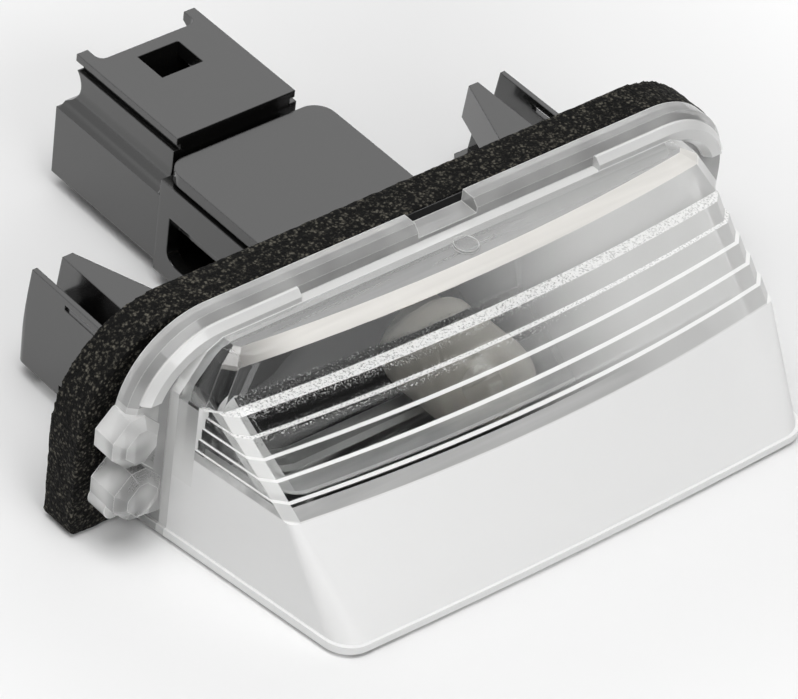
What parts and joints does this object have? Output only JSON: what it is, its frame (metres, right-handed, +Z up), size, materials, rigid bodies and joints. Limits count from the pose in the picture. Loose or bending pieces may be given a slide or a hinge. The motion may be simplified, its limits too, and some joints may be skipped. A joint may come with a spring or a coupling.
{
  "type": "number plate lamp",
  "caption": "Clip-in number plate lamp with a clear stepped-prism wedge lens, foam gasket, black snap-in housing with connector, and a wedge bulb.",
  "frame": {"origin": "middle of the panel seat, on the gasket's back face", "axes": "+X along the lens's length, +Y back through the panel to the connector, +Z up as the lamp lies on its lens"},
  "size_m": [0.078, 0.0699, 0.0235],
  "materials": {
    "clear_lens": "clear, frosted below the prisms",
    "foam": "closed-cell foam, matt",
    "black_plastic": "satin moulded",
    "bulb_glass": "clear",
    "tungsten": "dull",
    "lead_wire": "drawn",
    "contact_brass": "stamped"
  },
  "bodies": {
    "root": {"lens": "clear_lens", "foam_gasket": "foam", "housing": "black_plastic", "bulb_glass": "bulb_glass", "bulb_filament": "tungsten", "bulb_wire_left": "lead_wire", "bulb_wire_right": "lead_wire", "contact_left": "contact_brass", "contact_right": "contact_brass"}
  },
  "joints": []
}
